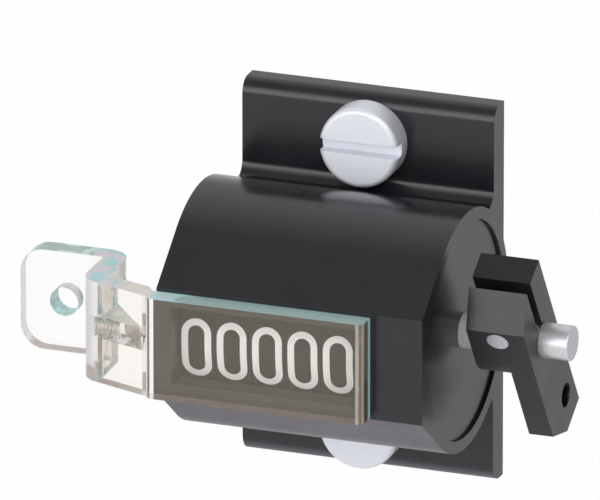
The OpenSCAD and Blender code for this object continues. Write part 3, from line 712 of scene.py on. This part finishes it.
def ribbon(flat, path, closed, half, offset, film):
    """Adds a line of paint along a path to a bmesh, with mitred corners."""
    points = [Vector(p) for p in even_steps(path, closed, PAINT_STEP)]
    count = len(points)
    rows = []
    for i, point in enumerate(points):
        before = points[i - 1] if closed or i else point
        after = points[(i + 1) % count] if closed or i < count - 1 else point
        first = (point - before).normalized() if point != before else (after - point).normalized()
        second = (after - point).normalized() if after != point else first
        normal = Vector((-(first + second).y, (first + second).x)).normalized()
        reach = half / max(0.4, normal.dot(Vector((-first.y, first.x))))
        rows.append([flat.verts.new((*(point + offset + side * reach * normal), height))
                     for side, height in ((1, film), (-1, film), (-1, -film), (1, -film))])
    pairs = list(zip(rows, rows[1:])) + ([(rows[-1], rows[0])] if closed else [])
    for a, b in pairs:
        for k in range(4):
            flat.faces.new((a[k], a[(k + 1) % 4], b[(k + 1) % 4], b[k]))
    if not closed:
        flat.faces.new(rows[0][::-1])
        flat.faces.new(rows[-1])


class COUNTER_OT_add_figures(bpy.types.Operator):
    """Paint the figures round every number wheel"""

    bl_idname = "counter.add_figures"
    bl_label = "Figures"

    def execute(self, context):
        s = context.scene.counter_figures
        half = s.stroke / 2
        radius = extent("units_wheel").z / 2
        flat = bmesh.new()
        for figure, paths in enumerate(figure_paths(s.width / 2 - half, s.height / 2 - half)):
            offset = Vector((s.shift, -figure * radius * FIGURE_STEP))
            for path, closed in paths:
                ribbon(flat, path, closed, half, offset, s.film)
        bmesh.ops.recalc_face_normals(flat, faces=flat.faces)
        tape = to_mesh(flat, "figure_tape")
        # Painted light: the figure paint glows a little, so the figures look brightly lit in the
        # window.
        white = moulded("Figure Paint", s.paint, 0.5, 0.3, 0.12)
        tree = wrapping_tree(white)
        for i, wheel in enumerate(WHEELS):
            mesh = tree.run(tape.copy(), wheel + "_figures", Radius=radius, Turn=s.window_angle,
                            Centre=(wheel_centre(i), AXIS.y, AXIS.z))
            add_object(wheel + "_figures", mesh, white, wheel)
        return {"FINISHED"}


def wheel_centre(i):
    """Place along the shaft of the middle of a number wheel's figures."""
    pitch = (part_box("tens_wheel")[0].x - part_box("thousands_wheel")[0].x) / 2
    return middle("carrier_plate_1").x + pitch / 2 - i * pitch


class COUNTER_OT_add_screws(bpy.types.Operator):
    """Make the fixing screws with their threads"""

    bl_idname = "counter.add_screws"
    bl_label = "Fixing screws"

    def execute(self, context):
        s = context.scene.counter_screws
        # Painted shade: the screws' faces turned to left and right are darker.
        steel = bright_steel("Screw Steel", s.steel, 0.42, 0.35, 0.75)
        solid = closed_copy("mounting_screws")
        low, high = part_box("mounting_screws")
        bmesh.ops.bisect_plane(solid, geom=solid.verts[:] + solid.edges[:] + solid.faces[:],
                               plane_co=(0, 0, 0), plane_no=(0, 1, 0), clear_outer=True, dist=1e-8)
        bmesh.ops.holes_fill(solid, edges=[e for e in solid.edges if e.is_boundary], sides=0)
        soften(solid, HEAD_EDGE)
        core = SCREW_RADIUS - s.depth
        head = extent("mounting_screws").x / 2
        lying = Matrix.Rotation(math.pi / 2, 4, "X")
        for z in (low.z + head, high.z - head):
            bmesh.ops.create_cone(
                solid, cap_ends=True, segments=48, radius1=core, radius2=core, depth=high.y,
                matrix=Matrix.Translation((0, high.y / 2, z)) @ lying)
        mesh = evaluated(to_mesh(solid, "fixing_screws"), "WEIGHTED_NORMAL", weight=100,
                         keep_sharp=True)
        tree = thread_tree(steel)
        turns = (high.y - THREAD_START - s.depth - THREAD_END) / s.pitch
        for z in (low.z + head, high.z - head):
            mesh = tree.run(mesh, "fixing_screws", Turns=turns, Radius=core, Pitch=s.pitch,
                            Ridge=s.depth, Centre=(0, THREAD_START, z),
                            Rotation=(-math.pi / 2, 0, 0))
        piece = add_object("fixing_screws", mesh, steel, "frame")
        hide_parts("mounting_screws")
        return {"FINISHED"}


class COUNTER_OT_add_castings(bpy.types.Operator):
    """Finish the housing and its caps"""

    bl_idname = "counter.add_castings"
    bl_label = "Housing"

    def execute(self, context):
        s = context.scene.counter_finish
        black = satin_black("Satin Black", s.casting, underside_light=s.underside_light)
        dress("housing", "cast_housing", black, "frame", s.edge)
        dress("bearing_cap", "end_cap", black, "frame", s.edge)
        dress("tail_cap", "far_cap", black, "frame", s.edge)
        return {"FINISHED"}


class COUNTER_OT_add_lever(bpy.types.Operator):
    """Finish the lever, its clamp screw and the shaft"""

    bl_idname = "counter.add_lever"
    bl_label = "Lever and shaft"

    def execute(self, context):
        s = context.scene.counter_finish
        enamel = satin_black("Lever Black", s.lever, 0.33)
        dress("lever", "clamp_lever", enamel, "drive", LEVER_EDGE)
        # Painted highlight: the shaft up to the lever is whitish, so its stub between cap and lever
        # looks bright.
        ground = ground_steel("Ground Steel", s.shaft, end=s.shaft_end, neck=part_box("lever")[0].x,
                              metal=0.75)
        dress("drive_shaft", "ground_shaft", ground, "drive", SHAFT_EDGE)
        turned = ground_steel("Clamp Screw Steel", s.clamp, 0.3)
        dress("clamp_screw", "clamping_screw", turned, "drive", SCREW_EDGE)
        return {"FINISHED"}


class COUNTER_OT_add_bracket(bpy.types.Operator):
    """Finish the clear bracket and cut the thread in its web"""

    bl_idname = "counter.add_bracket"
    bl_label = "Clear bracket"

    def execute(self, context):
        s = context.scene.counter_finish
        dress("clear_bracket", "clear_strip", clear_plastic(s), "frame",
              CLEAR_EDGE)
        self.thread(context.scene.counter_screws)
        return {"FINISHED"}

    @staticmethod
    def thread(s):
        """Ridges of the thread in the web's tapped hole."""
        hole = mount("web_thread")
        ridge = bright_clear("Thread Ridges")
        mesh = thread_tree(ridge).run(
            bpy.data.meshes.new("web_thread"), "web_thread",
            Turns=hole["dims"]["length_mm"] * MM / s.web_pitch - 1.0,
            Radius=hole["dims"]["r_mm"] * MM, Pitch=s.web_pitch, Ridge=s.web_ridge,
            Centre=Vector(hole["pos_m"]) + Vector((s.web_pitch / 2, 0, 0)),
            Rotation=(0, math.pi / 2, 0))
        add_object("web_thread", mesh, ridge, "frame")


INSIDE = {
    "Bronze": (ground_steel, (0.40, 0.24, 0.10), 0.35, ("shaft_bush", "thrust_washer")),
    "Spring Wire": (ground_steel, (0.55, 0.56, 0.58), 0.25,
                    ("return_spring", "drive_pawl_spring", "holding_pawl_spring")),
    "Zinc Plate": (bright_steel, (0.50, 0.51, 0.53), 0.35, ("pawl_arm",)),
    # Painted shade: the carrier plates are coloured black so the gaps between the number wheels
    # look dark.
    "Blackened Plate": (bright_steel, (0.03, 0.028, 0.027), 0.5,
                        ("carrier_plate_1", "carrier_plate_2", "carrier_plate_3",
                         "carrier_plate_4")),
    "Hardened Steel": (bright_steel, (0.20, 0.21, 0.22), 0.3,
                       ("pawl_pin", "drive_pawl", "holding_pawl", "ratchet_wheel", "stop_pins",
                        "holding_pin", "wheel_axle")),
    "Natural Plastic": (moulded, (0.70, 0.68, 0.62), 0.45,
                        ("transfer_pinion_1", "transfer_pinion_2", "transfer_pinion_3",
                         "transfer_pinion_4")),
}


class COUNTER_OT_add_mechanism(bpy.types.Operator):
    """Finish the wheels, pawls, springs and gears"""

    bl_idname = "counter.add_mechanism"
    bl_label = "Mechanism"

    def execute(self, context):
        s = context.scene.counter_finish
        for name, (finish, tint, roughness, nodes) in INSIDE.items():
            material = finish(name, tint, roughness)
            for node in nodes:
                paint_node(node, material)
        plastic = moulded("Wheel Plastic", s.wheel, 0.7, 0.15)
        for wheel in WHEELS:
            dress(wheel + "_wheel", wheel + "_drum", plastic, wheel, WHEEL_EDGE,
                  spread=s.rim_lap)
        return {"FINISHED"}


def paint_node(node, material):
    """Gives a CAD node a finish."""
    for slot in FRAME["nodes"][node].material_slots:
        slot.material = material


class COUNTER_OT_add_studio(bpy.types.Operator):
    """Set up the floor, the light and the camera"""

    bl_idname = "counter.add_studio"
    bl_label = "Studio"

    def execute(self, context):
        s = context.scene.counter_studio
        self.floor(s)
        self.sky(context, s)
        self.lamp(s)
        self.camera(context, s)
        context.scene.view_settings.view_transform = "Standard"
        return {"FINISHED"}

    @staticmethod
    def floor(s):
        low = CAD_BOX[0][2] - s.floor_drop
        flat = bmesh.new()
        bmesh.ops.create_grid(flat, x_segments=8, y_segments=8, size=1.5,
                              matrix=Matrix.Translation((0, 0, low)))
        p = Paint("Pale Floor")
        fleck = p.noise(900.0)
        matt = p.principled(base_color=p.mix(fleck, rgba(s.floor, 0.99), rgba(s.floor, 1.01)),
                            roughness=0.9)
        white = p.add("ShaderNodeEmission", {}, {"Color": (1, 1, 1, 1), "Strength": 1.0})
        seen = sum(p.ports("ShaderNodeLightPath", {}, {}, "Is Camera Ray", "Is Glossy Ray",
                           "Is Transmission Ray"))
        both = p.add("ShaderNodeMixShader", {}, {0: seen.span(0, 1, 0.0, 0.98), 1: matt, 2: white})
        clear = p.add("ShaderNodeBsdfTransparent", {}, {})
        below = p.add("ShaderNodeNewGeometry", {}, {}, "Backfacing")
        both = p.add("ShaderNodeMixShader", {}, {0: below, 1: both, 2: clear})
        floor = bpy.data.objects.new("pale_floor", to_mesh(flat, "pale_floor"))
        floor.data.materials.append(p.finish(both))
        bpy.context.collection.objects.link(floor)

    @staticmethod
    def sky(context, s):
        world = bpy.data.worlds.new("Studio")
        world.use_nodes = True
        context.scene.world = world
        p = Paint("Studio", world.node_tree)
        way = p.add("ShaderNodeTexCoord", {}, {}, "Generated")
        up = p.add("ShaderNodeSeparateXYZ", {}, {0: way}, "Z")
        window, fill = (p.add("ShaderNodeVectorMath", {"operation": "DOT_PRODUCT"},
                              {0: way, 1: Vector(towards).normalized()}, "Value")
                        for towards in (WINDOW_WAY, FILL_WAY))
        seen = sum(p.ports("ShaderNodeLightPath", {}, {}, "Is Camera Ray", "Is Transmission Ray"))
        room = (up.span(-0.1, 0.9, 0.95, s.sky) + window.span(0.83, 1.0, 0.0, s.window)
                + fill.span(0.80, 1.0, 0.0, s.fill))
        p.add("ShaderNodeOutputWorld", {}, {"Surface": p.add("ShaderNodeBackground", {}, {
            "Color": (1, 1, 1, 1), "Strength": seen * (1 - room) + room})})

    @staticmethod
    def lamp(s):
        data = bpy.data.lights.new("soft_lamp", "AREA")
        data.shape, data.size, data.energy = "DISK", LAMP_WIDTH, s.lamp
        lamp = bpy.data.objects.new("soft_lamp", data)
        lamp.location = LAMP_PLACE
        lamp.rotation_euler = (-lamp.location).to_track_quat("-Z", "Y").to_euler()
        bpy.context.collection.objects.link(lamp)

    @staticmethod
    def camera(context, s):
        a, e = s.azimuth, s.elevation
        back = Vector((math.sin(a) * math.cos(e), -math.cos(a) * math.cos(e), math.sin(e)))
        right = Vector((math.cos(a), math.sin(a), 0))
        up = back.cross(right)
        data = bpy.data.cameras.new("camera")
        data.lens = s.lens / MM
        distance = s.frame_width * data.lens / data.sensor_width
        data.clip_end = 2 * distance
        camera = bpy.data.objects.new("camera", data)
        camera.location = AXIS - right * s.side + up * s.rise + back * (distance - s.depth)
        camera.rotation_euler = (-back).to_track_quat("-Z", "Y").to_euler()
        bpy.context.collection.objects.link(camera)
        context.scene.camera = camera


OPERATORS = (
    COUNTER_OT_add_castings,
    COUNTER_OT_add_screws,
    COUNTER_OT_add_lever,
    COUNTER_OT_add_mechanism,
    COUNTER_OT_add_figures,
    COUNTER_OT_add_bracket,
    COUNTER_OT_add_studio,
)


class COUNTER_PT_panel(bpy.types.Panel):
    """Lists the counter's pieces and their settings"""

    bl_label = "Operation Counter"
    bl_space_type = "VIEW_3D"
    bl_region_type = "UI"
    bl_category = "Counter"

    def draw(self, context):
        for operator in OPERATORS:
            self.layout.operator(operator.bl_idname)
        for name in SETTINGS:
            group = getattr(context.scene, name)
            box = self.layout.box()
            for key in group.bl_rna.properties.keys():
                if key not in ("rna_type", "name"):
                    box.prop(group, key)


SETTINGS = {
    "counter_figures": FigureSettings,
    "counter_screws": ScrewSettings,
    "counter_finish": FinishSettings,
    "counter_studio": StudioSettings,
}
CLASSES = (*SETTINGS.values(), *OPERATORS, COUNTER_PT_panel)


def register():
    for cls in CLASSES:
        bpy.utils.register_class(cls)
    for name, group in SETTINGS.items():
        setattr(bpy.types.Scene, name, PointerProperty(type=group))


def unregister():
    for name in SETTINGS:
        delattr(bpy.types.Scene, name)
    for cls in reversed(CLASSES):
        bpy.utils.unregister_class(cls)


def main():
    register()
    for operator in OPERATORS:
        group, name = operator.bl_idname.split(".")
        getattr(getattr(bpy.ops, group), name)()


if __name__ == "__main__":
    main()
